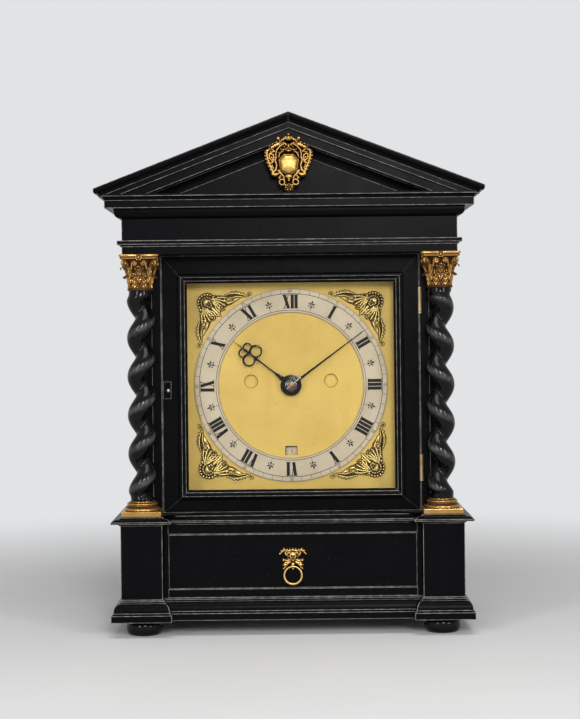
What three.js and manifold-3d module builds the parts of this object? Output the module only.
// Ebonised architectural table clock with a portico top, twist columns, a drawer in
// its plinth and an eight-day two-train fusee movement. Millimetres, +Z up. The front
// faces -Y, and the origin is on the ground at the middle of the clock.
import * as THREE from 'three';
import { mergeVertices } from 'three/addons/utils/BufferGeometryUtils.js';
import Module from 'manifold-3d';

const wasm = await Module();
wasm.setup();

// ---- Driving dimensions ---------------------------------------------------------
// Clearances.
const FIT = 0.3; // glue line, or running clearance between two pieces
const DOOR_GAP = 0.5; // round a door in its opening
const DRAWER_GAP = 0.6; // round the drawer in its bay

// The square opening in front of the dial sets the width and height of the case.
const SIGHT = 225;
const DOOR_STILE = 27.5; // wood of the front door beside its opening
const DOOR_TOP_RAIL = 30.3;
const DOOR_BOTTOM_RAIL = 24.2;
const POST_WIDTH = 25; // case beside the front door
const PLINTH_STEP = 18.5; // plinth beyond the case on each side

// Plinth and its mouldings.
const DIE_HALF_DEPTH = 112; // the corner pedestals' front faces
const DIE_WIDTH = 44.5; // each corner pedestal, seen from the front
const BREAK_DEPTH = 13; // the middle of the plinth stands this far back
const FOOT_HEIGHT = 17;
const FOOT_RADIUS = 20;
const FOOT_INSET = 23; // foot axis from the faces of the pedestal
const SKIRT_HEIGHT = 23;
const SKIRT_OVERHANG = 10;
const PLINTH_HEIGHT = 79;
const CAP_HEIGHT = 9;
const CAP_OVERHANG = 9.5;

// Body of the case.
const BODY_REAR_INSET = 10; // back of the body from the back of the plinth
const COLUMN_STAND = 40; // front of the body behind the front of the pedestals
const WALL = 14;
const FLOOR_THICKNESS = 6;
const BODY_TOP_RAIL = 8; // over the back door
const ROOF_HOLE_RIM = 31; // board left beside the opening over the bell
const SEAT_DROP = 83.2; // top of the movement's seat board below the dial's centre
const SEAT_THICKNESS = 10;
const SIDE_LIGHT_BOTTOM = 66; // side opening above the plinth
const SIDE_LIGHT_TOP = 60; // and below the entablature
const SIDE_LIGHT_FRONT = 28; // and behind the dial
const SIDE_LIGHT_REAR = 20; // and in front of the back door

// Doors.
const DOOR_THICKNESS = 22;
const SIGHT_MOULDING_WIDTH = 10.2;
const SIGHT_MOULDING_RISE = 4;
const GLASS_THICKNESS = 2;
const GLASS_LAP = 5.5; // glass behind the edge of its opening
const GLASS_SETBACK = 5.5; // glass behind the face of its door
const HINGE_RADIUS = 2.2;
const HINGE_LENGTH = 29;
const HINGE_FROM_BOTTOM = 47; // middle of the lower hinge above the plinth
const HINGE_FROM_TOP = 51.5;
const HINGE_LEAF_DEPTH = 14;
const LOCK_DROP = 2.7; // bolt below the dial's centre
const BOLT_HALF_HEIGHT = 3;
const BACK_DOOR_THICKNESS = 16;
const BACK_DOOR_RAIL = 25;
const BACK_HINGE_RADIUS = 2.2;
const BACK_HINGE_LENGTH = 200;

// Columns.
const COLUMN_BASE_HEIGHT = 16;
const COLUMN_BASE_HALF = 21.2;
const ABACUS_HALF = 21.2; // slab on top of the capital, clear of the opening door
const CAPITAL_HEIGHT = 39;
const TWIST_PITCH = 41.5; // rise of one turn of the twist
const TWIST_STRAND_RADIUS = 9.6;
const TWIST_OFFSET = 5.3; // strand centre from the column's axis
const TWIST_COLLAR_RADIUS = 12.5;

// Entablature, cornice and pediment.
const ARCHITRAVE_HEIGHT = 14.5;
const FILLET_HEIGHT = 4.2;
const FILLET_OVERHANG = 0.5; // this and the next ones from the pedestals' faces
const FRIEZE_HEIGHT = 23;
const FRIEZE_SETBACK = 4.2;
const CORNICE_HEIGHT = 25.5;
const BED_OVERHANG = 3.7;
const CORONA_OVERHANG = 12.3;
const CORNICE_OVERHANG = 17.8;
const EAVES_OVERHANG = 23;
const PEDIMENT_RISE = 84.8; // ridge above the cornice
const EAVES_TIP = 5.6; // height of the roof's edge above the cornice at the corners
const RAKING_CYMA = 11; // bottom of each raking member, measured down from the roof
const RAKING_FILLET = 17;
const RAKING_CORONA = 26.7;
const RAKING_BED = 39.2;
const ROOF_THICKNESS = 14;
const MOUNT_WIDTH = 49;
const MOUNT_HEIGHT = 62;

// Drawer.
const DRAWER_CHEEK = 5.8; // plinth showing beside the drawer
const DRAWER_RAIL = 11.5; // and above it
const DRAWER_BOTTOM_RAIL = 9.7;
const DRAWER_FRONT_THICKNESS = 14;
const DRAWER_WALL = 6;
const DRAWER_SIDE_DROP = 4; // sides lower than the front
const DRAWER_BACK_ROOM = 4; // behind the closed drawer
const PULL_RING_RADIUS = 9.4;
const PULL_RING_TUBE = 1.5;
const PULL_PLATE_WIDTH = 31;
const PULL_PLATE_HEIGHT = 24;

// Dial, from its centre.
const DIAL_LAP = 3.5; // dial plate behind the edge of the opening
const DIAL_THICKNESS = 2.5;
const DIAL_SETBACK = 4; // dial face behind the back of the door
const CHAPTER_OUTER = 106.5;
const CHAPTER_INNER = 80;
const CHAPTER_THICKNESS = 1.5;
const WINDING_X = 44;
const WINDING_Y = 4.6;
const WINDING_HOLE = 7.2;
const DATE_RADIUS = 72.6;
const DATE_WINDOW = [12, 9.2];
const DATE_RING_WIDTH = 15;
const CENTRE_HOLE = 7.2;
const SPANDREL_SIZE = 64;
const SPANDREL_MARGIN = 10.5; // from the plate's edge
const SHUTTER_TRAVEL = 17;
const HOUR_HAND_REACH = 80;
const HOUR_HAND_ANGLE = 308; // clockwise from twelve, in degrees
const MINUTE_HAND_REACH = 99.5;
const MINUTE_HAND_ANGLE = 53.6;

// Movement.
const PLATE_WIDTH = 150;
const PLATE_HEIGHT = 179;
const PLATE_THICKNESS = 3;
const PLATE_SPACE = 60; // between the two plates
const MOTION_SPACE = 17.5; // between the dial plate and the front plate
const PILLAR_RADIUS = 4;
const PILLAR_INSET = 8.5; // pillar centre from the plates' edges
const DIAL_FOOT_INSET = 18;
const ARBOR_RADIUS = 2;
const GREAT_TEETH = 72;
const CENTRE_PINION_TEETH = 6;
const CENTRE_TEETH = 72;
const CONTRATE_PINION_TEETH = 6;
const CENTRE_MODULE = 0.82;
const CONTRATE_TEETH = 78;
const CONTRATE_RADIUS = 22;
const CROWN_PINION_TEETH = 6;
const CROWN_TEETH = 27;
const CROWN_RADIUS = 11;
const MOTION_TEETH = 24; // cannon pinion and minute wheel
const HOUR_TEETH = 72;
const HOUR_PINION_TEETH = 6;
const MOTION_DISTANCE = 27;
const STRIKE_GREAT_TEETH = 78;
const PIN_PINION_TEETH = 8;
const PIN_TEETH = 48;
const FLY_PINION_TEETH = 6;
const FLY_MODULE = 0.74;
const PIN_COUNT = 8;
const BARREL_RADIUS = 22;
const BARREL_PLACE = [46, -46];
const FUSEE_LARGE = 19;
const FUSEE_SMALL = 9;
const FLY_RADIUS = 12;
const PENDULUM_LENGTH = 182;
const BOB_RADIUS = 12;
const BELL_RADIUS = 38;
const BELL_HEIGHT = 26;
const BELL_WALL = 2;

// ---- Heights and planes that follow ---------------------------------------------
const Z_SKIRT = FOOT_HEIGHT;
const Z_PLINTH = Z_SKIRT + SKIRT_HEIGHT;
const Z_CAP = Z_PLINTH + PLINTH_HEIGHT;
const Z_BODY = Z_CAP + CAP_HEIGHT;
const BODY_HEIGHT = SIGHT + DOOR_TOP_RAIL + DOOR_BOTTOM_RAIL + 2 * DOOR_GAP;
const DIAL_HEIGHT = Z_BODY + DOOR_GAP + DOOR_BOTTOM_RAIL + SIGHT / 2; // dial centre above the ground
const Z_ENTABLATURE = Z_BODY + BODY_HEIGHT;
const Z_FRIEZE = Z_ENTABLATURE + ARCHITRAVE_HEIGHT;
const Z_CORNICE = Z_FRIEZE + FRIEZE_HEIGHT;
const Z_PEDIMENT = Z_CORNICE + CORNICE_HEIGHT;
const Z_RIDGE = Z_PEDIMENT + PEDIMENT_RISE;
const DOOR_HALF_WIDTH = SIGHT / 2 + DOOR_STILE;
const BODY_HALF_WIDTH = DOOR_HALF_WIDTH + POST_WIDTH;
const DIE_HALF_WIDTH = BODY_HALF_WIDTH + PLINTH_STEP; // the corner pedestals' outer faces
const DIAL_SIZE = SIGHT + 2 * DIAL_LAP;
const PEDIMENT_SLOPE = (PEDIMENT_RISE - EAVES_TIP) / (DIE_HALF_WIDTH + EAVES_OVERHANG);
const Y_FRONT = -DIE_HALF_DEPTH;
const Y_MIDDLE = Y_FRONT + BREAK_DEPTH;
const Y_BODY = Y_FRONT + COLUMN_STAND;
const Y_BODY_REAR = DIE_HALF_DEPTH - BODY_REAR_INSET;
const Y_DOOR_BACK = Y_BODY + DOOR_THICKNESS;
const Y_BACK_DOOR = Y_BODY_REAR - BACK_DOOR_THICKNESS;
const Y_DIAL = Y_DOOR_BACK + DIAL_SETBACK;
const COLUMN_X = DIE_HALF_WIDTH - DIE_WIDTH / 2;
const COLUMN_Y = Y_FRONT + COLUMN_BASE_HALF + FIT;
const COLUMN_BACK = Y_BODY - COLUMN_Y - FIT; // flat back of the bases and capitals
const ROUND = 16; // sides of a round piece

// ---- Finishes --------------------------------------------------------------------
const finish = (color, roughness, metalness) =>
  new THREE.MeshStandardMaterial({ color, roughness, metalness });
const EBONY = finish(0x14120f, 0.35, 0);
const GILT = finish(0xc8952f, 0.35, 1);
const BRASS = finish(0xb98d3e, 0.4, 1);
const SILVER = finish(0xb9b4a4, 0.45, 1);
const STEEL = finish(0x2a2c33, 0.35, 1);
const BELL_METAL = finish(0xc9b07a, 0.3, 1);
const OAK = finish(0x7b5530, 0.7, 0);
const GLASS = finish(0xe8f0ee, 0.05, 0);
GLASS.transparent = true;
GLASS.opacity = 0.15;

// ---- Solid tools -----------------------------------------------------------------
// A closed solid from a three.js geometry, turned inside out where its faces point in.
function solid(geometry) {
  const bare = geometry.clone();
  bare.deleteAttribute('normal');
  bare.deleteAttribute('uv');
  const merged = mergeVertices(bare, 1e-5);
  const points = Float32Array.from(merged.attributes.position.array);
  const faces = Uint32Array.from(merged.index.array);
  const build = (tris) =>
    new wasm.Manifold(new wasm.Mesh({ numProp: 3, vertProperties: points, triVerts: tris }));
  const body = build(faces);
  return body.volume() > 0 ? body : build(faces.reverse());
}

function geometryOf(body) {
  const mesh = body.getMesh();
  const geometry = new THREE.BufferGeometry();
  geometry.setAttribute('position', new THREE.BufferAttribute(mesh.vertProperties, 3));
  geometry.setIndex(new THREE.BufferAttribute(mesh.triVerts, 1));
  geometry.computeVertexNormals();
  return geometry;
}

function box(x0, x1, y0, y1, z0, z1) {
  const geometry = new THREE.BoxGeometry(x1 - x0, y1 - y0, z1 - z0);
  return solid(geometry.translate((x0 + x1) / 2, (y0 + y1) / 2, (z0 + z1) / 2));
}

// A round bar along local z.
function disc(radius, z0, z1, x = 0, y = 0, sides = ROUND) {
  const geometry = new THREE.CylinderGeometry(radius, radius, z1 - z0, sides);
  return solid(geometry.rotateX(Math.PI / 2).translate(x, y, (z0 + z1) / 2));
}

// A body of revolution about local z, from [radius, z] pairs that start and end on the axis.
function turned(profile, sides = ROUND) {
  const points = profile.map(([radius, z]) => new THREE.Vector2(radius, z));
  return solid(new THREE.LatheGeometry(points, sides).rotateX(Math.PI / 2));
}

// A plate along local z from an outline of [x, y] corners.
function plate(outline, z0, z1) {
  const shape = new THREE.Shape(outline.map(([x, y]) => new THREE.Vector2(x, y)));
  const geometry = new THREE.ExtrudeGeometry(shape, { depth: z1 - z0, bevelEnabled: false });
  return solid(geometry.translate(0, 0, z0));
}

// A closed skin through rings of equally many points. The end rings are closed by the
// given faces, or by triangles found in the plane of the first two coordinates.
function loft(rings, endFaces = null) {
  const count = rings[0].length;
  const faces = [];
  for (let k = 0; k + 1 < rings.length; k += 1) {
    for (let i = 0; i < count; i += 1) {
      const j = (i + 1) % count;
      const low = k * count;
      const high = low + count;
      faces.push(low + i, low + j, high + j, low + i, high + j, high + i);
    }
  }
  const flat = rings[0].map(([x, y]) => new THREE.Vector2(x, y));
  const ends = endFaces ?? THREE.ShapeUtils.triangulateShape(flat, []);
  const top = (rings.length - 1) * count;
  ends.forEach(([a, b, c]) => faces.push(a, c, b, top + a, top + b, top + c));
  const geometry = new THREE.BufferGeometry();
  geometry.setAttribute('position', new THREE.Float32BufferAttribute(rings.flat(2), 3));
  geometry.setIndex(faces);
  return solid(geometry);
}

const joined = (...bodies) => bodies.reduce((sum, body) => sum.add(body));
const cut = (body, ...tools) => tools.reduce((rest, tool) => rest.subtract(tool), body);

// The points of a quarter of an ellipse: it leaves `from` level, or upright.
function quarter(from, to, leaves, steps = 3) {
  const points = [];
  for (let i = 1; i <= steps; i += 1) {
    const turn = (i / steps) * (Math.PI / 2);
    const early = Math.sin(turn);
    const late = 1 - Math.cos(turn);
    const [u, v] = leaves === 'level' ? [early, late] : [late, early];
    points.push([from[0] + (to[0] - from[0]) * u, from[1] + (to[1] - from[1]) * v]);
  }
  return points;
}

const rectangle = (halfWidth, halfHeight, x = 0, y = 0) => [
  [x - halfWidth, y - halfHeight],
  [x + halfWidth, y - halfHeight],
  [x + halfWidth, y + halfHeight],
  [x - halfWidth, y + halfHeight],
];

// A square-cornered outline, drawn anticlockwise, grown by a distance on every side.
function grown(outline, distance) {
  const count = outline.length;
  const outward = (from, to) => {
    const length = Math.hypot(to[0] - from[0], to[1] - from[1]);
    return [(to[1] - from[1]) / length, (from[0] - to[0]) / length];
  };
  return outline.map((point, i) => {
    const before = outward(outline[(i + count - 1) % count], point);
    const after = outward(point, outline[(i + 1) % count]);
    const shift = [distance * (before[0] + after[0]), distance * (before[1] + after[1])];
    return [point[0] + shift[0], point[1] + shift[1]];
  });
}

// A moulding mitred round an outline, from [overhang, height] pairs.
function moulded(outline, profile) {
  return loft(profile.map(([out, z]) => grown(outline, out).map(([x, y]) => [x, y, z])));
}

// ---- Scene tools ------------------------------------------------------------------
const clock = new THREE.Group();
clock.name = 'bracket_clock';

function add(parent, name, body, material, place = [0, 0, 0]) {
  const mesh = new THREE.Mesh(geometryOf(body), material);
  mesh.name = name;
  mesh.position.set(...place);
  parent.add(mesh);
  return mesh;
}

// ---- Plinth ------------------------------------------------------------------------
const innerDie = DIE_HALF_WIDTH - DIE_WIDTH;
const plinthOutline = [
  [-DIE_HALF_WIDTH, Y_FRONT], [-innerDie, Y_FRONT], [-innerDie, Y_MIDDLE], [innerDie, Y_MIDDLE],
  [innerDie, Y_FRONT], [DIE_HALF_WIDTH, Y_FRONT], [DIE_HALF_WIDTH, DIE_HALF_DEPTH],
  [-DIE_HALF_WIDTH, DIE_HALF_DEPTH],
];

function bunFoot() {
  const waist = FOOT_RADIUS * 0.74;
  const profile = [[0, 0], [waist, 0]];
  const steps = 5;
  for (let i = 1; i < steps; i += 1) {
    const turn = (i / steps) * Math.PI;
    const swell = (FOOT_RADIUS - waist) * Math.sin(turn);
    profile.push([waist + swell, (FOOT_HEIGHT * (1 - Math.cos(turn))) / 2]);
  }
  profile.push([waist, FOOT_HEIGHT], [0, FOOT_HEIGHT]);
  return turned(profile);
}

const footX = DIE_HALF_WIDTH - FOOT_INSET;
const footY = DIE_HALF_DEPTH - FOOT_INSET;
const feet = { front_left: [-1, -1], front_right: [1, -1], rear_left: [-1, 1], rear_right: [1, 1] };
for (const [corner, [sx, sy]] of Object.entries(feet)) {
  add(clock, `bun_foot_${corner}`, bunFoot(), EBONY, [sx * footX, sy * footY, 0]);
}

const skirtFascia = Z_SKIRT + SKIRT_HEIGHT * 0.33;
const skirtProfile = [
  [SKIRT_OVERHANG, Z_SKIRT], [SKIRT_OVERHANG, skirtFascia], [SKIRT_OVERHANG - 1.5, skirtFascia],
  [SKIRT_OVERHANG - 1.5, skirtFascia + 2.5],
  ...quarter([SKIRT_OVERHANG - 2, skirtFascia + 2.5], [1.6, Z_PLINTH - 3], 'upright'),
  [1.6, Z_PLINTH - 1.5], [0.6, Z_PLINTH - 1.5], [0.6, Z_PLINTH],
];
const skirtWell = box(-innerDie, innerDie, Y_MIDDLE + DIE_WIDTH, DIE_HALF_DEPTH - DIE_WIDTH,
  Z_SKIRT - 1, Z_PLINTH + 1);
add(clock, 'base_moulding', cut(moulded(plinthOutline, skirtProfile), skirtWell), EBONY);

const drawerTop = Z_CAP - DRAWER_RAIL;
const drawerBottom = Z_PLINTH + DRAWER_BOTTOM_RAIL;
const drawerHalf = innerDie - DRAWER_CHEEK;
const bayHalf = drawerHalf + DRAWER_GAP;
const bayRear = DIE_HALF_DEPTH - WALL;
const bay = box(-bayHalf, bayHalf, Y_FRONT - 1, bayRear, drawerBottom - DRAWER_GAP, drawerTop + DRAWER_GAP);
const plinth = cut(moulded(plinthOutline, [[0, Z_PLINTH], [0, Z_CAP]]), bay);
add(clock, 'plinth_carcase', plinth, EBONY);

const capProfile = [
  [1, Z_CAP], ...quarter([1, Z_CAP], [CAP_OVERHANG - 1, Z_CAP + 2.6], 'upright'),
  [CAP_OVERHANG, Z_CAP + 2.6], [CAP_OVERHANG, Z_CAP + 4.4],
  ...quarter([CAP_OVERHANG - 1, Z_CAP + 4.4], [1.2, Z_BODY - 1.2], 'upright'), [1.2, Z_BODY],
];
add(clock, 'cap_moulding', moulded(plinthOutline, capProfile), EBONY);

// ---- Drawer ------------------------------------------------------------------------
const drawerFrontBack = Y_MIDDLE + DRAWER_FRONT_THICKNESS;
const drawerFront = box(-drawerHalf, drawerHalf, Y_MIDDLE, drawerFrontBack, drawerBottom, drawerTop);
add(clock, 'drawer_front', drawerFront, EBONY);

const drawerInnerHalf = drawerHalf - DRAWER_WALL;
const drawerRear = bayRear - DRAWER_BACK_ROOM;
const drawerShell = box(-drawerHalf, drawerHalf, drawerFrontBack, drawerRear, drawerBottom,
  drawerTop - DRAWER_SIDE_DROP);
const drawerHollow = box(-drawerInnerHalf, drawerInnerHalf, drawerFrontBack + DRAWER_WALL,
  drawerRear - DRAWER_WALL, drawerBottom + DRAWER_WALL, drawerTop);
add(clock, 'drawer_box', cut(drawerShell, drawerHollow), OAK);

// The pull's plate stands on the drawer front: a mask with leafy sides, and below it the
// eye that carries the ring.
const pull = new THREE.Group();
pull.position.set(0, Y_MIDDLE, (drawerTop + drawerBottom) / 2);
pull.rotation.x = Math.PI / 2; // local y is up, local z comes forward
clock.add(pull);
const pullTop = 15.7;
const pullMiddle = pullTop - PULL_PLATE_HEIGHT / 2;
const ringCentre = -15;
const ringY = 5.2; // ring plane in front of the drawer
const ringPivot = ringCentre + PULL_RING_RADIUS;
const halfPlate = PULL_PLATE_WIDTH / 2;

function pullPlate() {
  const leafy = [];
  const steps = 22;
  for (let i = 0; i < steps; i += 1) {
    const turn = (i / steps) * 2 * Math.PI;
    const reach = 1 + 0.13 * Math.cos(6 * turn);
    leafy.push([halfPlate * 0.84 * reach * Math.cos(turn),
      pullMiddle + (PULL_PLATE_HEIGHT / 2) * 0.84 * reach * Math.sin(turn)]);
  }
  const face = new THREE.SphereGeometry(1, 12, 8).scale(7, 9, 4.5).translate(0, pullMiddle + 1, 1.5);
  const eye = box(-2.2, 2.2, ringPivot - 3.4, ringPivot + 4, 1, ringY + 2.8);
  const eyeHole = solid(new THREE.CylinderGeometry(1.9, 1.9, 8, 12).rotateZ(Math.PI / 2)
    .translate(0, ringPivot, ringY));
  return cut(joined(plate(leafy, FIT, 2.4), solid(face), eye), eyeHole, box(-20, 20, -40, 40, -9, FIT));
}
add(pull, 'drawer_pull_plate', pullPlate(), GILT);
const pullRing = solid(new THREE.TorusGeometry(PULL_RING_RADIUS, PULL_RING_TUBE, 8, 22));
add(pull, 'drawer_pull_ring', pullRing, GILT, [0, ringCentre, ringY]);

// ---- Case body ----------------------------------------------------------------------
const innerHalf = BODY_HALF_WIDTH - WALL;
const sightHalf = SIGHT / 2;
const dialHalf = DIAL_SIZE / 2;
const doorRecess = DOOR_HALF_WIDTH + DOOR_GAP;
const ySurround = Y_DOOR_BACK + FIT;
const yInterior = ySurround + 9;
const backDoorLow = Z_BODY + FLOOR_THICKNESS + DOOR_GAP;
const backDoorTop = Z_ENTABLATURE - BODY_TOP_RAIL;
const backDoorMiddle = (backDoorLow + backDoorTop) / 2;
const seatTop = DIAL_HEIGHT - SEAT_DROP;
const seatRear = Y_DIAL + DIAL_THICKNESS + MOTION_SPACE + PLATE_SPACE + 2 * PLATE_THICKNESS;
const paneLow = Z_BODY + SIDE_LIGHT_BOTTOM;
const paneHigh = Z_ENTABLATURE - SIDE_LIGHT_TOP;
const paneFront = Y_DIAL + SIDE_LIGHT_FRONT;
const paneRear = Y_BACK_DOOR - SIDE_LIGHT_REAR;
const paneInner = innerHalf + 4;
const roofHoleHalf = innerHalf - ROOF_HOLE_RIM;
const hingeHeights = [Z_BODY + HINGE_FROM_BOTTOM, Z_ENTABLATURE - HINGE_FROM_TOP];
const lockHeight = DIAL_HEIGHT - LOCK_DROP;
const hingeX = DOOR_HALF_WIDTH + 0.8;
const hingeY = Y_BODY - 1.6;
const backHingeX = -DOOR_HALF_WIDTH - 0.8;
const backHingeY = Y_BODY_REAR + 1.6;

// A round bar standing upright.
const upright = (radius, x, y, z0, z1, sides = 16) => disc(radius, z0, z1, x, y, sides);

function caseFrame() {
  const shell = box(-BODY_HALF_WIDTH, BODY_HALF_WIDTH, Y_BODY, Y_BODY_REAR, Z_BODY, Z_ENTABLATURE);
  const tools = [
    box(-doorRecess, doorRecess, Y_BODY - 1, ySurround, Z_BODY - 1, Z_ENTABLATURE + 1),
    box(-dialHalf - FIT, dialHalf + FIT, Y_BODY, yInterior + 1, DIAL_HEIGHT - dialHalf - FIT,
      DIAL_HEIGHT + dialHalf + FIT),
    box(-innerHalf, innerHalf, yInterior, Y_BACK_DOOR, seatTop, Z_ENTABLATURE - FLOOR_THICKNESS),
    box(-innerHalf, innerHalf, yInterior, Y_BACK_DOOR, Z_BODY + FLOOR_THICKNESS, seatTop - SEAT_THICKNESS),
    box(-innerHalf, innerHalf, seatRear, Y_BACK_DOOR, Z_BODY + FLOOR_THICKNESS, seatTop + 1),
    box(-roofHoleHalf, roofHoleHalf, yInterior + 20, Y_BACK_DOOR - 10, Z_ENTABLATURE - FLOOR_THICKNESS - 1,
      Z_ENTABLATURE + 1),
    box(-doorRecess, doorRecess, Y_BACK_DOOR - 1, Y_BODY_REAR + 1, backDoorLow - DOOR_GAP,
      backDoorTop + DOOR_GAP),
  ];
  for (const z of hingeHeights) {
    const reach = HINGE_LENGTH / 2 + FIT;
    tools.push(upright(HINGE_RADIUS + FIT, hingeX, hingeY, z - reach, z + reach));
    tools.push(box(DOOR_HALF_WIDTH, doorRecess + 1.6, Y_BODY - 1, Y_BODY + HINGE_LEAF_DEPTH + FIT,
      z - reach, z + reach));
  }
  const backReach = BACK_HINGE_LENGTH / 2 + 1;
  tools.push(upright(BACK_HINGE_RADIUS + FIT, backHingeX, backHingeY, backDoorMiddle - backReach,
    backDoorMiddle + backReach));
  for (const side of [-1, 1]) {
    const span = (a, b) => [Math.min(side * a, side * b), Math.max(side * a, side * b)];
    tools.push(box(...span(innerHalf - 1, BODY_HALF_WIDTH + 1), paneFront, paneRear, paneLow, paneHigh));
    tools.push(box(...span(innerHalf - 1, paneInner + GLASS_THICKNESS), paneFront - GLASS_LAP,
      paneRear + GLASS_LAP, paneLow - GLASS_LAP, paneHigh + GLASS_LAP));
  }
  const boltZ = BOLT_HALF_HEIGHT + FIT;
  tools.push(box(-doorRecess - 7, -doorRecess + 1, Y_DOOR_BACK - 10.3, Y_DOOR_BACK - 6.7,
    lockHeight - boltZ, lockHeight + boltZ));
  return cut(shell, ...tools);
}
add(clock, 'case_frame', caseFrame(), EBONY);

for (const [side, name] of [[-1, 'side_glass_left'], [1, 'side_glass_right']]) {
  const inner = side * paneInner;
  const outer = side * (paneInner + GLASS_THICKNESS);
  const lap = GLASS_LAP - FIT;
  add(clock, name, box(Math.min(inner, outer), Math.max(inner, outer), paneFront - lap, paneRear + lap,
    paneLow - lap, paneHigh + lap), GLASS);
}

// ---- Front door ----------------------------------------------------------------------
const doorLow = Z_BODY + DOOR_GAP;
const doorTop = Z_ENTABLATURE - DOOR_GAP;
const glassFront = Y_BODY + GLASS_SETBACK;

// Turns a body drawn in the dial's plane (y up, z forward) to stand in the clock.
const standing = (body, y, z) => body.rotate([90, 0, 0]).translate([0, y, z]);

function frontDoor() {
  const slab = box(-DOOR_HALF_WIDTH, DOOR_HALF_WIDTH, Y_BODY, Y_DOOR_BACK, doorLow, doorTop);
  const sight = rectangle(sightHalf, sightHalf);
  const wide = SIGHT_MOULDING_WIDTH;
  const rise = SIGHT_MOULDING_RISE;
  const raised = moulded(sight, [
    [wide, -1], [wide, rise * 0.55], ...quarter([wide, rise * 0.55], [wide - 3, rise], 'upright'),
  ]);
  const funnel = moulded(sight, [
    [wide - 4.2, rise + 1], [wide - 4.2, rise - 0.6], [2.4, 1.2], [2.4, 0.2], [0, -2], [0, -40],
  ]);
  const rebate = box(-sightHalf - GLASS_LAP, sightHalf + GLASS_LAP, glassFront, Y_DOOR_BACK + 1,
    DIAL_HEIGHT - sightHalf - GLASS_LAP, DIAL_HEIGHT + sightHalf + GLASS_LAP);
  const boltZ = BOLT_HALF_HEIGHT + FIT;
  const boltSlot = box(-DOOR_HALF_WIDTH - 1, -DOOR_HALF_WIDTH + 19, Y_DOOR_BACK - 10.3, Y_DOOR_BACK - 6.7,
    lockHeight - boltZ, lockHeight + boltZ);
  const keyhole = box(-DOOR_HALF_WIDTH + 6.5, -DOOR_HALF_WIDTH + 8.5, Y_BODY - 1, Y_DOOR_BACK - 8,
    lockHeight - 4, lockHeight + 3);
  const notches = hingeHeights.map((z) => upright(HINGE_RADIUS + FIT, hingeX, hingeY,
    z - HINGE_LENGTH / 2 - FIT, z + HINGE_LENGTH / 2 + FIT));
  const frame = joined(slab, standing(raised, Y_BODY, DIAL_HEIGHT));
  return cut(frame, standing(funnel, Y_BODY, DIAL_HEIGHT), rebate, boltSlot, keyhole, ...notches);
}
add(clock, 'front_door_frame', frontDoor(), EBONY);

const paneHalf = sightHalf + GLASS_LAP - FIT;
add(clock, 'front_door_glass', box(-paneHalf, paneHalf, glassFront, glassFront + GLASS_THICKNESS,
  DIAL_HEIGHT - paneHalf, DIAL_HEIGHT + paneHalf), GLASS);

hingeHeights.forEach((z, i) => {
  const low = z - HINGE_LENGTH / 2;
  const high = z + HINGE_LENGTH / 2;
  const barrel = upright(HINGE_RADIUS, hingeX, hingeY, low, high);
  const leaf = box(doorRecess, doorRecess + 1.3, hingeY, Y_BODY + HINGE_LEAF_DEPTH, low, high);
  add(clock, `front_door_hinge_${['lower', 'upper'][i]}`, joined(barrel, leaf), BRASS);
});

const bolt = box(-DOOR_HALF_WIDTH + 1, -DOOR_HALF_WIDTH + 18, Y_DOOR_BACK - 10, Y_DOOR_BACK - 7,
  lockHeight - BOLT_HALF_HEIGHT, lockHeight + BOLT_HALF_HEIGHT);
add(clock, 'door_lock_bolt', bolt, STEEL);

// ---- Back door -----------------------------------------------------------------------
const backSightHalf = DOOR_HALF_WIDTH - BACK_DOOR_RAIL;
const backSightLow = backDoorLow + BACK_DOOR_RAIL;
const backSightTop = backDoorTop - BACK_DOOR_RAIL;

function backDoor() {
  const slab = box(-DOOR_HALF_WIDTH, DOOR_HALF_WIDTH, Y_BACK_DOOR, Y_BODY_REAR, backDoorLow, backDoorTop);
  const sight = box(-backSightHalf, backSightHalf, Y_BACK_DOOR - 1, Y_BODY_REAR + 1, backSightLow,
    backSightTop);
  const rebate = box(-backSightHalf - GLASS_LAP, backSightHalf + GLASS_LAP, Y_BACK_DOOR - 1,
    Y_BODY_REAR - GLASS_SETBACK, backSightLow - GLASS_LAP, backSightTop + GLASS_LAP);
  const barrel = upright(BACK_HINGE_RADIUS, backHingeX, backHingeY, backDoorMiddle - BACK_HINGE_LENGTH / 2,
    backDoorMiddle + BACK_HINGE_LENGTH / 2);
  return cut(slab, sight, rebate).add(barrel);
}
add(clock, 'back_door_frame', backDoor(), EBONY);
const backLap = GLASS_LAP - FIT;
add(clock, 'back_door_glass', box(-backSightHalf - backLap, backSightHalf + backLap,
  Y_BODY_REAR - GLASS_SETBACK - GLASS_THICKNESS, Y_BODY_REAR - GLASS_SETBACK, backSightLow - backLap,
  backSightTop + backLap), GLASS);

// ---- Columns ---------------------------------------------------------------------------
const SHAFT_HEIGHT = BODY_HEIGHT - COLUMN_BASE_HEIGHT - CAPITAL_HEIGHT;
const COLLAR_HEIGHT = 4;
const TAPER_HEIGHT = 12;

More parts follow.
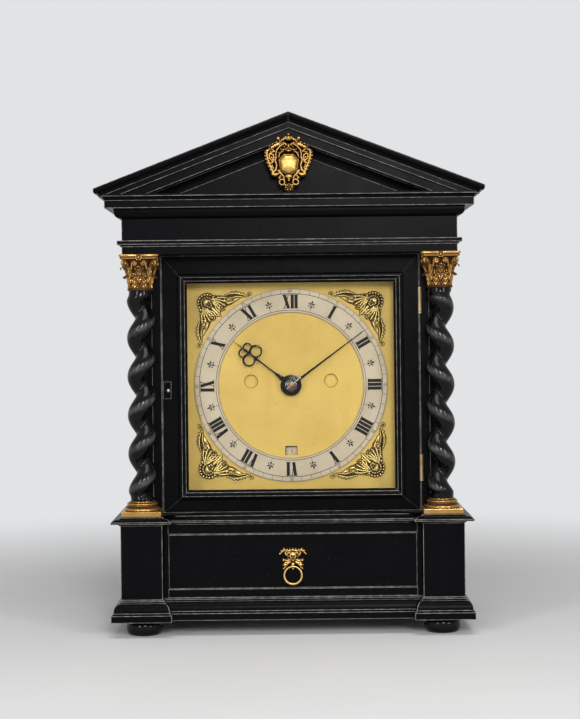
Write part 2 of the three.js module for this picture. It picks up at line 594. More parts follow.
// One round strand that winds about the column's axis and dies into a plain collar at
// both ends. Handedness +1 climbs to the right across the front.
function twistShaft(handedness, turnAtMiddle) {
  const rings = [];
  const sides = 10;
  const steps = 52;
  for (let k = 0; k <= steps; k += 1) {
    const z = (SHAFT_HEIGHT * k) / steps;
    const fromEnd = Math.min(z, SHAFT_HEIGHT - z) - COLLAR_HEIGHT;
    const share = THREE.MathUtils.smoothstep(fromEnd, 0, TAPER_HEIGHT);
    const radius = THREE.MathUtils.lerp(TWIST_COLLAR_RADIUS, TWIST_STRAND_RADIUS, share);
    const turn = turnAtMiddle + (handedness * 2 * Math.PI * (z - SHAFT_HEIGHT / 2)) / TWIST_PITCH;
    const ring = [];
    for (let i = 0; i < sides; i += 1) {
      const angle = (i / sides) * 2 * Math.PI;
      ring.push([
        TWIST_OFFSET * share * Math.cos(turn) + radius * Math.cos(angle),
        TWIST_OFFSET * share * Math.sin(turn) + radius * Math.sin(angle), z]);
    }
    rings.push(ring);
  }
  return loft(rings);
}

// A square plinth, a hollow and two rounds, cut flat where it meets the body.
function columnBase() {
  const half = COLUMN_BASE_HALF;
  const rounds = turned([
    [0, 5], [19, 5], ...quarter([19, 5], [19.4, 8], 'level', 2), [17, 9], [15.2, 11], [16.6, 12],
    [16.6, 14], [14, COLUMN_BASE_HEIGHT - FIT], [0, COLUMN_BASE_HEIGHT - FIT],
  ]);
  const block = box(-half, half, -half, half, FIT, 5.6);
  return cut(joined(block, rounds), box(-30, 30, COLUMN_BACK, 40, -1, COLUMN_BASE_HEIGHT + 1));
}

// A leafy bell under a hollow-sided slab with a scroll at each corner.
function capital() {
  const high = CAPITAL_HEIGHT - FIT;
  const slabLow = high - 5;
  const bell = turned([
    [0, 0], [13.6, 0], [14.6, 1.4], [13.6, 2.8], [12.6, 3.2], [12.8, 18], [14.5, 26], [17.5, slabLow + 0.5],
    [0, slabLow + 0.5],
  ], 12);
  const parts = [bell];
  const leafRing = (inner, outer, width, innerZ, outerZ) =>
    [[inner, -width, innerZ], [outer, -width, outerZ], [outer, width, outerZ], [inner, width, innerZ]];
  const leaf = (radius, low, top, width, lean) => loft([
    leafRing(radius - 2, radius + 1.2, width, low, low),
    leafRing(radius - 2, radius + 1.8, width, top - 4, top - 4),
    leafRing(radius - 1, radius + lean, width * 0.6, top, top - 1.5),
  ]);
  for (let i = 0; i < 8; i += 1) {
    parts.push(leaf(12.6, 3, 14, 3.6, 4.2).rotate([0, 0, i * 45]));
    if (i % 2) parts.push(leaf(13.2, 9, 24, 3.4, 5.6).rotate([0, 0, i * 45 + 45]));
  }
  const half = ABACUS_HALF;
  const waist = half - 3;
  const slab = [];
  for (let side = 0; side < 4; side += 1) {
    const turn = (side * Math.PI) / 2;
    for (const [x, y] of [[-half + 2.5, -half], [0, -waist], [half - 2.5, -half]]) {
      slab.push([x * Math.cos(turn) - y * Math.sin(turn), x * Math.sin(turn) + y * Math.cos(turn)]);
    }
    const scroll = solid(new THREE.CylinderGeometry(4.6, 4.6, 5, 8)
      .translate(half * 1.09, 0, slabLow - 3.6));
    parts.push(scroll.rotate([0, 0, 45 + side * 90]));
  }
  parts.push(plate(slab, slabLow, high));
  return cut(joined(...parts), box(-40, 40, COLUMN_BACK, 40, -1, CAPITAL_HEIGHT + 1));
}

for (const [side, name, turn] of [[-1, 'left', Math.PI * 1.01], [1, 'right', Math.PI * -0.564]]) {
  const x = side * COLUMN_X;
  const shaftLow = Z_BODY + COLUMN_BASE_HEIGHT;
  add(clock, `column_base_${name}`, columnBase(), GILT, [x, COLUMN_Y, Z_BODY]);
  const phase = turn + (-side * 2 * Math.PI * (shaftLow + SHAFT_HEIGHT / 2 - 277)) / TWIST_PITCH;
  add(clock, `column_${name}`, twistShaft(-side, phase), EBONY, [x, COLUMN_Y, shaftLow]);
  add(clock, `capital_${name}`, capital(), GILT, [x, COLUMN_Y, shaftLow + SHAFT_HEIGHT + FIT]);
}

// ---- Entablature, cornice and pediment -----------------------------------------------
const topOutline = rectangle(DIE_HALF_WIDTH, DIE_HALF_DEPTH);
const wellHalf = innerHalf - 4;
const well = (z0, z1) => box(-wellHalf, wellHalf, Y_BODY + 2, Y_BODY_REAR - WALL, z0 - 1, z1 + 1);
const zFillet = Z_FRIEZE - FILLET_HEIGHT;
const zBand = zFillet - 2.4;
const entablature = moulded(topOutline, [
  [-FRIEZE_SETBACK, Z_ENTABLATURE], [-FRIEZE_SETBACK, zBand], [-FRIEZE_SETBACK + 1.6, zBand],
  [-FRIEZE_SETBACK + 1.6, zFillet], [FILLET_OVERHANG, zFillet], [FILLET_OVERHANG, Z_FRIEZE],
  [-FRIEZE_SETBACK, Z_FRIEZE + 0.4], [-FRIEZE_SETBACK, Z_CORNICE],
]);
add(clock, 'entablature', cut(entablature, well(Z_ENTABLATURE, Z_CORNICE)), EBONY);

const corona = Z_CORNICE + CORNICE_HEIGHT * 0.43;
const coronaTop = Z_CORNICE + CORNICE_HEIGHT * 0.72;
const cornice = moulded(topOutline, [
  [-FRIEZE_SETBACK, Z_CORNICE], [-FRIEZE_SETBACK + 2, Z_CORNICE + 1],
  ...quarter([-FRIEZE_SETBACK + 2, Z_CORNICE + 1], [BED_OVERHANG, corona - 3.4], 'level'),
  [BED_OVERHANG, corona], [CORONA_OVERHANG, corona], [CORONA_OVERHANG, coronaTop],
  [CORONA_OVERHANG + 0.8, coronaTop + 0.6],
  ...quarter([CORONA_OVERHANG + 0.8, coronaTop + 0.6], [CORNICE_OVERHANG, Z_PEDIMENT - 2.4], 'upright', 2),
  [CORNICE_OVERHANG, Z_PEDIMENT],
]);
add(clock, 'cornice', cut(cornice, well(Z_CORNICE, Z_PEDIMENT)), EBONY);

// The roof and both gables. Each ring of the eaves moulding runs round the plan and
// climbs to the ridge at the front and back.
function pediment() {
  const ringAt = (out, drop) => {
    const x = DIE_HALF_WIDTH + out;
    const y = DIE_HALF_DEPTH + out;
    const high = Z_RIDGE - drop;
    const low = high - PEDIMENT_SLOPE * x;
    return [[0, -y, high], [x, -y, low], [x, y, low], [0, y, high], [-x, y, low], [-x, -y, low]];
  };
  const cymaMiddle = (CORNICE_OVERHANG + EAVES_OVERHANG) / 2;
  const cyma = [
    [CORNICE_OVERHANG, RAKING_CYMA],
    ...quarter([CORNICE_OVERHANG, RAKING_CYMA], [cymaMiddle, 6.4], 'upright', 2),
    ...quarter([cymaMiddle, 6.4], [EAVES_OVERHANG, 2.2], 'level', 2),
    [EAVES_OVERHANG, 0],
  ];
  const faces = [[0, 1, 2], [0, 2, 3], [0, 3, 4], [0, 4, 5]];
  const eaves = loft(cyma.map(([out, drop]) => ringAt(out, drop)), faces);
  const triangle = (drop, y) => {
    const x = (PEDIMENT_RISE - drop) / PEDIMENT_SLOPE;
    return [[-x, Z_PEDIMENT, y], [x, Z_PEDIMENT, y], [0, Z_RIDGE - drop, y]];
  };
  const facing = (rings) => loft(rings).rotate([90, 0, 0]);
  // Drawn with z up as the second coordinate, so a turn about x stands it upright.
  const depth = DIE_HALF_DEPTH;
  const core = facing([triangle(RAKING_CYMA - 0.5, -depth - CORNICE_OVERHANG + 1),
    triangle(RAKING_CYMA - 0.5, depth + CORNICE_OVERHANG - 1)]);
  const recess = [
    [RAKING_FILLET, -depth - EAVES_OVERHANG], [RAKING_FILLET, -depth - CORONA_OVERHANG],
    [RAKING_CORONA, -depth - CORONA_OVERHANG], [RAKING_CORONA + 0.8, -depth - BED_OVERHANG - 1],
    [RAKING_CORONA + 5, -depth - BED_OVERHANG], [RAKING_BED - 3, -depth - 0.5],
    [RAKING_BED, -depth + FRIEZE_SETBACK - 1], [RAKING_BED, -depth + FRIEZE_SETBACK],
  ];
  const front = facing(recess.map(([drop, y]) => triangle(drop, -y)));
  const rear = facing(recess.map(([drop, y]) => triangle(drop, y)));
  const atticDepth = depth - 20;
  const attic = facing([triangle(RAKING_BED + ROOF_THICKNESS - 4, -atticDepth),
    triangle(RAKING_BED + ROOF_THICKNESS - 4, atticDepth)]);
  const below = box(-300, 300, -300, 300, Z_PEDIMENT - 60, Z_PEDIMENT);
  return cut(joined(eaves, core), front, rear, attic, below);
}
add(clock, 'pediment', pediment(), EBONY);

// Cartouche: a convex shield inside a scrolled frame. It stands on the cornice, flat
// against the raking corona, and a stud ties it to the tympanum.
function cartouche() {
  const outline = [];
  const steps = 40;
  for (let i = 0; i < steps; i += 1) {
    const turn = (i / steps) * 2 * Math.PI;
    const lobes = 0.86 + 0.14 * Math.cos(8 * turn);
    const taper = 1 - 0.22 * Math.max(0, -Math.sin(turn));
    outline.push([(MOUNT_WIDTH / 2) * lobes * taper * Math.cos(turn),
      (MOUNT_HEIGHT / 2) * lobes * Math.sin(turn)]);
  }
  const shield = new THREE.SphereGeometry(1, 16, 8).scale(10.5, 12.5, 7).translate(0, 3, 1.5);
  const rim = new THREE.TorusGeometry(13, 2.2, 6, 20).scale(1, 1.18, 1).translate(0, 3, 3);
  const front = joined(plate(outline, FIT, 3.4), solid(shield), solid(rim));
  const face = cut(front, box(-40, 40, -40, 40, -20, FIT));
  return face.add(disc(4, FIT - CORONA_OVERHANG - FRIEZE_SETBACK, 1, 0, 3));
}
const mount = add(clock, 'pediment_mount', cartouche(), GILT,
  [0, Y_FRONT - CORONA_OVERHANG, Z_PEDIMENT + MOUNT_HEIGHT / 2 + FIT]);
mount.rotation.x = Math.PI / 2;

// ---- Dial ------------------------------------------------------------------------------
// Local x is to the right, y is up, and z comes forward out of the dial's face.
const dial = new THREE.Group();
dial.position.set(0, Y_DIAL, DIAL_HEIGHT);
dial.rotation.x = Math.PI / 2;
clock.add(dial);
const zPlateFront = -DIAL_THICKNESS - MOTION_SPACE; // the movement's front plate
const zPlateBack = zPlateFront - 2 * PLATE_THICKNESS - PLATE_SPACE;
const shutterBack = -DIAL_THICKNESS - FIT - 0.9;
const dateFront = shutterBack - FIT;
const dateInner = DATE_RADIUS - DATE_RING_WIDTH / 2;
const dateOuter = DATE_RADIUS + DATE_RING_WIDTH / 2;
const plateMiddle = FIT + PLATE_HEIGHT / 2 - SEAT_DROP;
const plateTop = plateMiddle + PLATE_HEIGHT / 2;
const plateLow = plateMiddle - PLATE_HEIGHT / 2;
const fourPlaces = (x, low, high) => [[-x, low], [x, low], [-x, high], [x, high]];
const feetAt = fourPlaces(PLATE_WIDTH / 2 - DIAL_FOOT_INSET, plateLow + 13, plateTop - PILLAR_INSET);

function dialPlate() {
  const sheet = plate(rectangle(dialHalf - FIT, dialHalf - FIT), -DIAL_THICKNESS, 0);
  const parts = [sheet];
  for (const [x, y] of feetAt) {
    parts.push(disc(3, zPlateFront + FIT, -1, x, y, 10));
  }
  for (const turn of [30, 150, 270]) {
    const angle = THREE.MathUtils.degToRad(turn);
    const reach = dateOuter + 1.5 + FIT;
    parts.push(disc(1.5, dateFront - 1.4, -1, reach * Math.cos(angle), reach * Math.sin(angle), 8));
  }
  const holes = [disc(CENTRE_HOLE, -9, 9)];
  for (const side of [-1, 1]) holes.push(disc(WINDING_HOLE, -9, 9, side * WINDING_X, WINDING_Y, 20));
  const [wide, high] = DATE_WINDOW;
  holes.push(box(-wide / 2, wide / 2, -DATE_RADIUS - high / 2, -DATE_RADIUS + high / 2, -9, 9));
  return cut(joined(...parts), ...holes);
}
add(dial, 'dial_plate', dialPlate(), GILT);

const ringPlate = (outer, inner, z0, z1, sides) =>
  cut(disc(outer, z0, z1, 0, 0, sides), disc(inner, z0 - 1, z1 + 1, 0, 0, sides));
add(dial, 'chapter_ring', ringPlate(CHAPTER_OUTER, CHAPTER_INNER, FIT, CHAPTER_THICKNESS + FIT, 48), SILVER);
add(dial, 'date_ring', ringPlate(dateOuter, dateInner, dateFront - 1.2, dateFront, 36), SILVER);

function shutter() {
  const barMiddle = WINDING_Y + WINDING_HOLE + 2.3;
  const bar = plate(rectangle(WINDING_X, 2.5, 0, barMiddle), shutterBack, shutterBack + 0.9);
  const leaves = [-1, 1].map((side) =>
    disc(WINDING_HOLE + 1.5, shutterBack, shutterBack + 0.9, side * WINDING_X, WINDING_Y));
  return joined(bar, ...leaves);
}
add(dial, 'winding_shutter', shutter(), BRASS);

// A winged child's head in a corner of leaf scrolls, cast in low relief. Drawn for the
// upper right corner, with that corner at the local origin.
function spandrel() {
  const size = SPANDREL_SIZE;
  const unit = size / 64; // the relief is drawn on a casting 64 long
  const arc = [];
  const steps = 8;
  const hollow = CHAPTER_OUTER + 3;
  const centre = dialHalf - SPANDREL_MARGIN;
  const start = Math.acos(Math.min(1, (centre - 3) / hollow));
  for (let i = 0; i <= steps; i += 1) {
    const angle = start + (Math.PI / 2 - 2 * start) * (i / steps);
    arc.push([hollow * Math.cos(angle) - centre, hollow * Math.sin(angle) - centre]);
  }
  const inside = arc.reverse().filter(([x, y]) => x > -size && y >= -size);
  const web = plate([[0, 0], [-size, 0], ...inside, [0, -size]], FIT, 1.6);
  const bump = (x, y, rx, ry, rz, turn) => solid(new THREE.SphereGeometry(1, 8, 5)
    .scale(rx * unit, ry * unit, rz).rotateZ(turn).translate(x * unit, y * unit, 1.4));
  const relief = [
    bump(-15, -15, 6.5, 8, 5, -Math.PI / 4), bump(-29, -9, 9, 4.2, 3, -0.2), bump(-9, -29, 4.2, 9, 3, 0.2),
    bump(-47, -6, 8, 3, 2.4, 0.1), bump(-6, -47, 3, 8, 2.4, -0.1),
  ];
  return cut(joined(web, ...relief), box(-90, 30, -90, 30, -9, FIT));
}
const corners = { upper_right: 0, upper_left: 1, lower_left: 2, lower_right: 3 };
for (const [corner, quarters] of Object.entries(corners)) {
  const turn = (quarters * Math.PI) / 2;
  const reach = (dialHalf - SPANDREL_MARGIN) * Math.SQRT2;
  const angle = turn + Math.PI / 4;
  const mesh = add(dial, `spandrel_${corner}`, spandrel(), GILT,
    [reach * Math.cos(angle), reach * Math.sin(angle), 0]);
  mesh.rotation.z = turn;
}

// ---- Hands -----------------------------------------------------------------------------
const hourHandLow = 5;
const minuteHandLow = 9;
const HAND_THICKNESS = 1;

function hourHand() {
  const low = hourHandLow;
  const high = hourHandLow + HAND_THICKNESS;
  const tip = HOUR_HAND_REACH;
  const parts = [disc(11.8, low, high), plate([[-3, 8], [3, 8], [1, tip - 29], [-1, tip - 29]], low, high),
    plate([[-1, tip - 18], [1, tip - 18], [0.5, tip], [-0.5, tip]], low, high)];
  // Each loop: centre across the hand, centre below its tip, outer and inner radius.
  const loops = [[-6, 27, 7, 4.4], [6, 27, 7, 4.4], [-3.3, 17.4, 4.6, 2.4], [3.3, 17.4, 4.6, 2.4]];
  for (const [x, drop, outer, inner] of loops) {
    const y = tip - drop;
    parts.push(cut(disc(outer, low, high, x, y, 14), disc(inner, low - 1, high + 1, x, y, 10)));
  }
  return cut(joined(...parts), disc(4.9, low - 1, high + 1));
}
const clockwise = THREE.MathUtils.degToRad;
add(dial, 'hour_hand', hourHand(), STEEL).rotation.z = -clockwise(HOUR_HAND_ANGLE);

function minuteHand() {
  const low = minuteHandLow;
  const high = minuteHandLow + HAND_THICKNESS;
  const blade = plate([[-1.6, 4], [1.6, 4], [0.5, MINUTE_HAND_REACH], [-0.5, MINUTE_HAND_REACH]], low, high);
  return cut(joined(blade, disc(6, low, high, 0, 0, 20)), disc(3.3, low - 1, high + 1));
}
add(dial, 'minute_hand', minuteHand(), STEEL).rotation.z = -clockwise(MINUTE_HAND_ANGLE);
const collet = turned([
  [0, minuteHandLow + HAND_THICKNESS + FIT], [6.4, minuteHandLow + HAND_THICKNESS + FIT],
  ...quarter([6.4, minuteHandLow + 1.6], [2.4, minuteHandLow + 4], 'upright'), [1.2, minuteHandLow + 4],
  [1.2, minuteHandLow + 5.2], [0, minuteHandLow + 5.2],
]);
add(dial, 'hand_collet', collet, STEEL);

// ---- Movement ----------------------------------------------------------------------------
// All arbors are drawn in the dial's frame: z forward, the plates behind the dial.
const front = (depth) => zPlateFront - PLATE_THICKNESS - depth; // depth behind the front plate

// A pointed-tooth wheel. One tooth stands at the given angle.
function gear(teeth, module, z0, z1, angle = 0) {
  const pitch = (teeth * module) / 2;
  const outline = [];
  for (let i = 0; i < teeth; i += 1) {
    const tip = angle + (i / teeth) * 2 * Math.PI;
    const root = tip + Math.PI / teeth;
    const high = pitch + module * 0.55;
    const low = pitch - module * 1.15;
    outline.push([high * Math.cos(tip), high * Math.sin(tip)], [low * Math.cos(root), low * Math.sin(root)]);
  }
  return plate(outline, z0, z1);
}

// A pinion with narrow leaves, one of which stands at the given angle.
function pinion(leaves, module, z0, z1, angle = 0) {
  const pitch = (leaves * module) / 2;
  const outline = [];
  const corners4 = [[-0.5, -1.2], [-0.17, 0.55], [0.17, 0.55], [0.5, -1.2]];
  for (let i = 0; i < leaves; i += 1) {
    const middle = angle + (i / leaves) * 2 * Math.PI;
    for (const [across, out] of corners4) {
      const radius = pitch + module * out;
      const turn = middle + (across * module) / radius;
      outline.push([radius * Math.cos(turn), radius * Math.sin(turn)]);
    }
  }
  return plate(outline, z0, z1);
}

const away = ([x, y], distance, angle) => [x + distance * Math.cos(angle), y + distance * Math.sin(angle)];
const angleTo = (from, to) => Math.atan2(to[1] - from[1], to[0] - from[0]);
const centre = [0, 0];
const goingFusee = [WINDING_X, WINDING_Y];
const strikeFusee = [-WINDING_X, WINDING_Y];
const fuseeDistance = Math.hypot(...goingFusee);
const greatModule = (2 * fuseeDistance) / (GREAT_TEETH + CENTRE_PINION_TEETH);
const contratePlace = [0, (CENTRE_MODULE * (CENTRE_TEETH + CONTRATE_PINION_TEETH)) / 2];
const strikeModule = (2 * fuseeDistance) / (STRIKE_GREAT_TEETH + PIN_PINION_TEETH);
const pinPlace = away(strikeFusee, fuseeDistance, 1.25);
const flyPlace = away(pinPlace, (FLY_MODULE * (PIN_TEETH + FLY_PINION_TEETH)) / 2, 1.92);
const strikeBarrelPlace = [-BARREL_PLACE[0], BARREL_PLACE[1]];
const minutePlace = [0, -MOTION_DISTANCE];
const hammerPlace = [-62, 50];
const pillarPlaces = fourPlaces(PLATE_WIDTH / 2 - PILLAR_INSET, plateLow + PILLAR_INSET,
  plateTop - PILLAR_INSET);
const vergeHeight = contratePlace[1] + CONTRATE_RADIUS + 30;
const arborEnd = zPlateBack + FIT; // inside the back plate's outer face
const arborStart = zPlateFront - FIT; // inside the front plate's outer face

const arbor = (z0, z1, radius = ARBOR_RADIUS) => disc(radius, Math.min(z0, z1), Math.max(z0, z1), 0, 0, 10);
const arborPlaces = [goingFusee, strikeFusee, centre, contratePlace, pinPlace, flyPlace, BARREL_PLACE,
  strikeBarrelPlace, hammerPlace];

function platePiece(z1) {
  const sheet = plate(rectangle(PLATE_WIDTH / 2, PLATE_HEIGHT / 2, 0, plateMiddle), z1 - PLATE_THICKNESS, z1);
  const holes = arborPlaces.map(([x, y]) => disc(ARBOR_RADIUS + FIT * 2, z1 - 9, z1 + 9, x, y, 8));
  return cut(sheet, ...holes);
}

const pinHoles = pillarPlaces.map(([x, y]) => disc(2 + FIT * 2, zPlateFront - 9, zPlateFront + 9, x, y, 8));
add(dial, 'front_plate', cut(platePiece(zPlateFront), ...pinHoles), BRASS);

// The back plate carries the pillars, the crown wheel's potence, the arm over the crown
// wheel and the standard of the bell.
const upModule = (2 * CONTRATE_RADIUS) / CONTRATE_TEETH;
const crownBack = front(41.8 + upModule * (CROWN_PINION_TEETH / 2 - 0.4)); // the crown wheel's upright arbor
const vergeFront = crownBack + CROWN_RADIUS + 3; // where the verge's front pivot runs
const bellFront = front(31);
const bellLow = plateTop + 9;
const zBackInner = zPlateBack + PLATE_THICKNESS;

function backPlate() {
  const parts = [platePiece(zBackInner)];
  for (const [x, y] of pillarPlaces) {
    parts.push(disc(PILLAR_RADIUS, zBackInner - 1, zPlateFront - PLATE_THICKNESS - FIT, x, y, 10));
    parts.push(disc(2, zBackInner, zPlateFront + 4, x, y, 8));
  }
  const potenceTop = contratePlace[1] + 16;
  parts.push(box(-4, 4, potenceTop - 3, potenceTop, zBackInner - 1, crownBack + 0.8));
  parts.push(box(-5, 5, vergeHeight + 5, vergeHeight + 8.5, zBackInner - 1, vergeFront + 2.7));
  parts.push(box(-4, 4, vergeHeight - 3, vergeHeight + 6, vergeFront, vergeFront + 2.7));
  const strip = bellLow - 6;
  parts.push(box(-5, 5, plateTop - 1, strip, zBackInner - 3, zBackInner));
  parts.push(box(-5, 5, strip - 3, strip, zBackInner - 3, bellFront + 4));
  const post = new THREE.CylinderGeometry(2, 2, BELL_HEIGHT + 12, 10);
  parts.push(solid(post.translate(0, strip + (BELL_HEIGHT + 12) / 2 - 1, bellFront)));
  const shoulder = new THREE.CylinderGeometry(4, 4, BELL_HEIGHT + 3.7, 12);
  parts.push(solid(shoulder.translate(0, strip - 1 + (BELL_HEIGHT + 3.7) / 2, bellFront)));
  const vergeHole = disc(2.6, zPlateBack - 9, zBackInner + 9, 0, vergeHeight, 12);
  return cut(joined(...parts), vergeHole);
}
add(dial, 'back_plate', backPlate(), BRASS);

function bell() {
  const wall = BELL_WALL;
  const outer = [];
  const inner = [];
  const steps = 5;
  for (let i = 0; i <= steps; i += 1) {
    const turn = (i / steps) * (Math.PI / 2);
    outer.push([BELL_RADIUS * Math.cos(turn), BELL_HEIGHT * Math.sin(turn)]);
    inner.push([(BELL_RADIUS - wall) * Math.cos(turn), (BELL_HEIGHT - wall) * Math.sin(turn)]);
  }
  outer[steps] = [2.4, BELL_HEIGHT];
  inner[steps] = [2.4, BELL_HEIGHT - wall];
  const closed = [...outer, ...inner.reverse(), outer[0]];
  const points = closed.map(([radius, y]) => new THREE.Vector2(radius, y));
  return solid(new THREE.LatheGeometry(points, ROUND));
}
add(dial, 'bell', bell(), BELL_METAL, [0, bellLow, bellFront]);

// Going train.
const greatAt = [front(7), front(4.5)];
function fusee(teeth, module, wheelAt, angle, coneEnd) {
  const [z0, z1] = wheelAt;
  const cone = turned([
    [0, coneEnd], [FUSEE_SMALL, coneEnd], [FUSEE_LARGE, z0 - 1], [FUSEE_LARGE, z0], [0, z0],
  ]);
  const square = box(-2.2, 2.2, -2.2, 2.2, zPlateFront, shutterBack - FIT - 0.2);
  return joined(gear(teeth, module, z0, z1, angle), cone, arbor(arborEnd, zPlateFront + 1), square);
}
const toCentre = angleTo(goingFusee, centre);
add(dial, 'going_fusee', fusee(GREAT_TEETH, greatModule, greatAt, toCentre, front(37)), BRASS,
  [...goingFusee, 0]);

function barrel(z0, z1) {
  const drum = disc(BARREL_RADIUS, z0, z1);
  const rims = [disc(BARREL_RADIUS + 1, z0, z0 + 1.5), disc(BARREL_RADIUS + 1, z1 - 1.5, z1)];
  return joined(drum, ...rims, arbor(arborEnd, arborStart));
}
add(dial, 'going_barrel', barrel(front(44), front(10)), BRASS, [...BARREL_PLACE, 0]);
add(dial, 'strike_barrel', barrel(front(46), front(15)), BRASS, [...strikeBarrelPlace, 0]);

const pinionPhase = (teeth, angle) => angle + Math.PI / teeth;
const cannonAt = [zPlateFront + 1, zPlateFront + 3];
const cannonModule = MOTION_DISTANCE / MOTION_TEETH;
const hourModule = (2 * MOTION_DISTANCE) / (HOUR_TEETH + HOUR_PINION_TEETH);

function centreArbor() {
  const fromFusee = angleTo(centre, goingFusee);
  return joined(
    arbor(arborEnd, minuteHandLow + 1, 1.7),
    pinion(CENTRE_PINION_TEETH, greatModule, front(8), front(3.5),
      pinionPhase(CENTRE_PINION_TEETH, fromFusee)),
    gear(CENTRE_TEETH, CENTRE_MODULE, front(31.5), front(29.5), Math.PI / 2),
    gear(MOTION_TEETH, cannonModule, ...cannonAt, -Math.PI / 2),
    disc(3, cannonAt[0], minuteHandLow + HAND_THICKNESS, 0, 0, 16),
  );
}
add(dial, 'centre_arbor', centreArbor(), STEEL);

function minuteWheel() {
  const toHour = Math.PI / 2;
  return joined(
    gear(MOTION_TEETH, cannonModule, ...cannonAt, pinionPhase(MOTION_TEETH, toHour)),
    pinion(HOUR_PINION_TEETH, hourModule, cannonAt[1] - 0.5, cannonAt[1] + 4,
      pinionPhase(HOUR_PINION_TEETH, toHour)),
    disc(1.2, zPlateFront + FIT, cannonAt[1] + 4.5, 0, 0, 8),
  );
}
add(dial, 'minute_wheel', minuteWheel(), BRASS, [...minutePlace, 0]);

function hourWheel() {
  const wheelAt = [cannonAt[1] + 1.2, cannonAt[1] + 2.8];
  const wheel = gear(HOUR_TEETH, hourModule, ...wheelAt, -Math.PI / 2);
  const pipe = disc(4.6, wheelAt[0], hourHandLow + HAND_THICKNESS, 0, 0, 16);
  return cut(joined(wheel, pipe), disc(3 + FIT, wheelAt[0] - 1, hourHandLow + 9, 0, 0, 16));
}
add(dial, 'hour_wheel', hourWheel(), BRASS);

// A rim of pointed teeth that stand along z, from its flat edge at z0 to roots and tips.
// The first tooth lies on local x.
function toothedRim(teeth, inner, outer, z0, root, tip) {
  const count = teeth * 2;
  const ringOf = (radius, height) => {
    const ring = [];
    for (let i = 0; i < count; i += 1) {
      const angle = (i / count) * 2 * Math.PI;
      ring.push([radius * Math.cos(angle), radius * Math.sin(angle), height ?? (i % 2 ? root : tip)]);
    }
    return ring;
  };
  const rings = [ringOf(inner, z0), ringOf((inner + outer) / 2, null), ringOf(outer, z0)];
  const faces = [];
  rings.forEach((ring, k) => ring.forEach((point, i) => {
    const j = (i + 1) % count;
    const a = k * count;
    const b = ((k + 1) % rings.length) * count;
    faces.push(a + i, a + j, b + j, a + i, b + j, b + i);
  }));
  const geometry = new THREE.BufferGeometry();
  geometry.setAttribute('position', new THREE.Float32BufferAttribute(rings.flat(2), 3));
  geometry.setIndex(faces);
  return solid(geometry);
}

const contrateWeb = front(38.5);
const contrateTip = front(41.8);
function contrateArbor() {
  const toothRoot = contrateTip + 1.4;
  const inner = CONTRATE_RADIUS - 0.7;
  const outer = CONTRATE_RADIUS + 0.7;
  const rim = toothedRim(CONTRATE_TEETH, inner, outer, contrateWeb, toothRoot, contrateTip);
  const toCentreWheel = -Math.PI / 2;
  return joined(
    rim.rotate([0, 0, 90]), disc(CONTRATE_RADIUS, contrateWeb, contrateWeb + 1.2, 0, 0, 26),
    pinion(CONTRATE_PINION_TEETH, CENTRE_MODULE, front(33), front(28),
      pinionPhase(CONTRATE_PINION_TEETH, toCentreWheel)),
    arbor(arborEnd, arborStart, 1.5),
  );
}
add(dial, 'contrate_wheel', contrateArbor(), BRASS, [...contratePlace, 0]);

// The crown wheel's arbor is upright: drawn along local z, then stood up along y.
const crownLow = contratePlace[1] + 16 + FIT;
const crownPlane = vergeHeight - 14;
function crownWheel() {
  const wall = 1.4;
  const drop = crownPlane - crownLow;
  return joined(
    toothedRim(CROWN_TEETH, CROWN_RADIUS - wall, CROWN_RADIUS, 0, 5.6, 9), disc(CROWN_RADIUS - 0.5, 0, 1.2),
    pinion(CROWN_PINION_TEETH, upModule, 4 - drop, 9 - drop, Math.PI / 2 + Math.PI / CROWN_PINION_TEETH),
    disc(0.9, -drop, 7, 0, 0, 8),
  );
}
const crown = add(dial, 'crown_wheel', crownWheel(), BRASS, [0, crownPlane, crownBack]);
crown.rotation.x = -Math.PI / 2;

// Verge, its two pallets, and the pendulum that hangs from its back end.
const pendulumBack = zPlateBack - 14;
function vergePendulum() {
  const verge = disc(1.2, zPlateBack - 16.7, vergeFront - FIT, 0, vergeHeight, 10);
  const pallet = (z) => box(-0.8, 0.8, vergeHeight - 4, vergeHeight, z - 2.2, z + 2.2);
  const rod = solid(new THREE.CylinderGeometry(1, 1, PENDULUM_LENGTH, 8)
    .translate(0, vergeHeight - PENDULUM_LENGTH / 2, pendulumBack));
  const bobPoints = [
    [0, -13], [4, -12.6], [9.5, -8], [BOB_RADIUS, -2], [9.5, 5], [5, 11], [1.6, 14], [0, 14],
  ];
  const bob = solid(new THREE.LatheGeometry(bobPoints.map(([r, y]) => new THREE.Vector2(r, y)), 16)
    .translate(0, vergeHeight - PENDULUM_LENGTH, pendulumBack));
  const hub = disc(2.4, pendulumBack - 1.6, pendulumBack + 1.6, 0, vergeHeight, 10);
  const pallets = [-1, 1].map((side) => pallet(crownBack + side * (CROWN_RADIUS - 0.6)));
  return joined(verge, ...pallets, rod, bob, hub);
}
add(dial, 'verge_pendulum', vergePendulum(), BRASS);

function backCock() {
  const outer = zPlateBack - 20;
  const bridge = box(-24, 24, vergeHeight - 8, vergeHeight + 10, outer, outer + 3);
  const legs = [-1, 1].map((side) =>
    box(Math.min(side * 16, side * 24), Math.max(side * 16, side * 24), vergeHeight - 8, vergeHeight + 10,
      outer + 2, zPlateBack - FIT));
  return joined(bridge, ...legs);
}
add(dial, 'back_cock', backCock(), BRASS);

// Striking train.
const strikeAt = [front(12), front(9.5)];
const toPin = angleTo(strikeFusee, pinPlace);
add(dial, 'strike_fusee', fusee(STRIKE_GREAT_TEETH, strikeModule, strikeAt, toPin, front(41)), BRASS,
  [...strikeFusee, 0]);

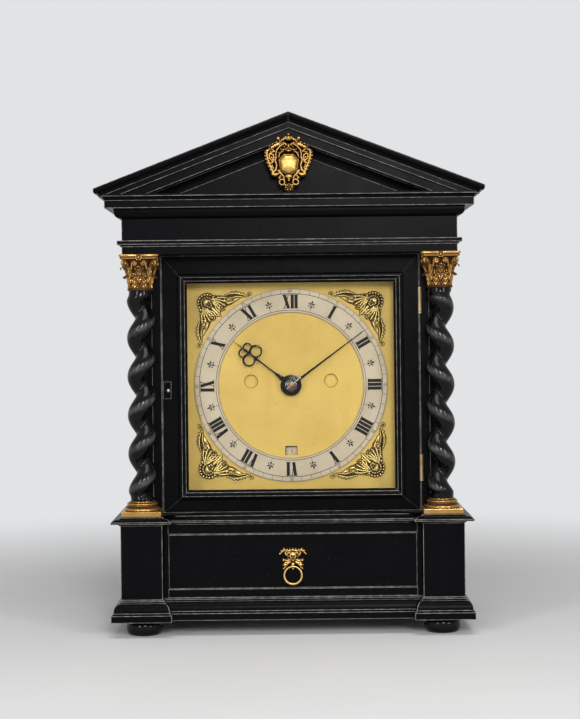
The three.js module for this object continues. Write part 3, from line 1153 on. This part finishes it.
function pinWheel() {
  const toFusee = angleTo(pinPlace, strikeFusee);
  const toFly = angleTo(pinPlace, flyPlace);
  const parts = [
    pinion(PIN_PINION_TEETH, strikeModule, front(13), front(8.5), pinionPhase(PIN_PINION_TEETH, toFusee)),
    gear(PIN_TEETH, FLY_MODULE, front(18), front(16), toFly), arbor(arborEnd, arborStart, 1.6),
  ];
  for (let i = 0; i < PIN_COUNT; i += 1) {
    const angle = (i / PIN_COUNT) * 2 * Math.PI;
    parts.push(disc(0.8, front(17), front(12.6), 14 * Math.cos(angle), 14 * Math.sin(angle), 6));
  }
  return joined(...parts);
}
add(dial, 'pin_wheel', pinWheel(), BRASS, [...pinPlace, 0]);

function fly() {
  const toPinWheel = angleTo(flyPlace, pinPlace);
  return joined(
    arbor(arborEnd, arborStart, 1.2),
    pinion(FLY_PINION_TEETH, FLY_MODULE, front(19.5), front(14.5), pinionPhase(FLY_PINION_TEETH, toPinWheel)),
    box(-FLY_RADIUS, FLY_RADIUS, -0.5, 0.5, front(52), front(26)),
  );
}
add(dial, 'fly', fly(), BRASS, [...flyPlace, 0]);

// The count wheel turns with the strike great wheel once in twelve hours. Its rim has a
// notch after each hour's blows.
function countWheel() {
  const z1 = zPlateBack - 2.4;
  const z0 = z1 - 2;
  const radius = 24;
  const notches = [];
  let blows = 0;
  for (let hour = 1; hour <= 12; hour += 1) {
    blows += hour;
    const angle = (blows / 78) * 2 * Math.PI;
    notches.push(box(radius - 2.5, radius + 2, -0.6, 0.6, z0 - 1, z1 + 1)
      .rotate([0, 0, THREE.MathUtils.radToDeg(angle)]));
  }
  return cut(joined(disc(radius, z0, z1, 0, 0, 36), disc(4, z0, zPlateBack - FIT, 0, 0, 12)), ...notches);
}
add(dial, 'count_wheel', countWheel(), BRASS, [...strikeFusee, 0]);

function hammer() {
  const reachX = -BELL_RADIUS - 4 - hammerPlace[0];
  const reachY = bellLow + 3 - hammerPlace[1];
  const arm = plate([[-1.5, 0], [1.5, 0], [reachX + 1.5, reachY], [reachX - 1.5, reachY]], bellFront - 1.5,
    bellFront + 1.5);
  const head = box(reachX - 7, reachX + 3.3, reachY - 3.5, reachY + 4, bellFront - 4, bellFront + 4);
  const tail = box(0, 15, -1.2, 1.2, front(15.6), front(13.2));
  return joined(arbor(arborEnd, arborStart, 1.6), arm, head, tail);
}
add(dial, 'hammer', hammer(), STEEL, [...hammerPlace, 0]);

export default clock;
